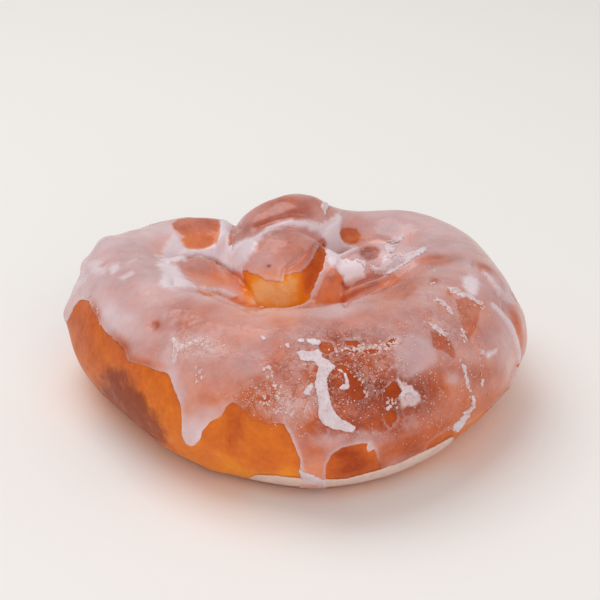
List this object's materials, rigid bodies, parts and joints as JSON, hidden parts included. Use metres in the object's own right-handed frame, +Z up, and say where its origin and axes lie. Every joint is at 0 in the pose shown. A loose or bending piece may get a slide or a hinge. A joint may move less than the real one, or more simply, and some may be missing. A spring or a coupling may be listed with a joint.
{
  "type": "sweet pretzel",
  "caption": "Baked yeast pretzel with a fat belly, two twisted arms laid on its shoulders and a thin cracked sugar glaze, lying flat.",
  "frame": {"origin": "middle of the footprint, on the ground", "axes": "+Z up, +X to the right across both shoulders, the fat belly towards -Y and the far crossing of the arms towards +Y"},
  "size_m": [0.1342, 0.1284, 0.0484],
  "materials": {
    "crust": "satin, golden to red-brown baked crust",
    "glaze": "thin milky sugar glaze, satin, matt where it is thick and white"
  },
  "bodies": {
    "root": {"pretzel": "crust"}
  },
  "joints": []
}
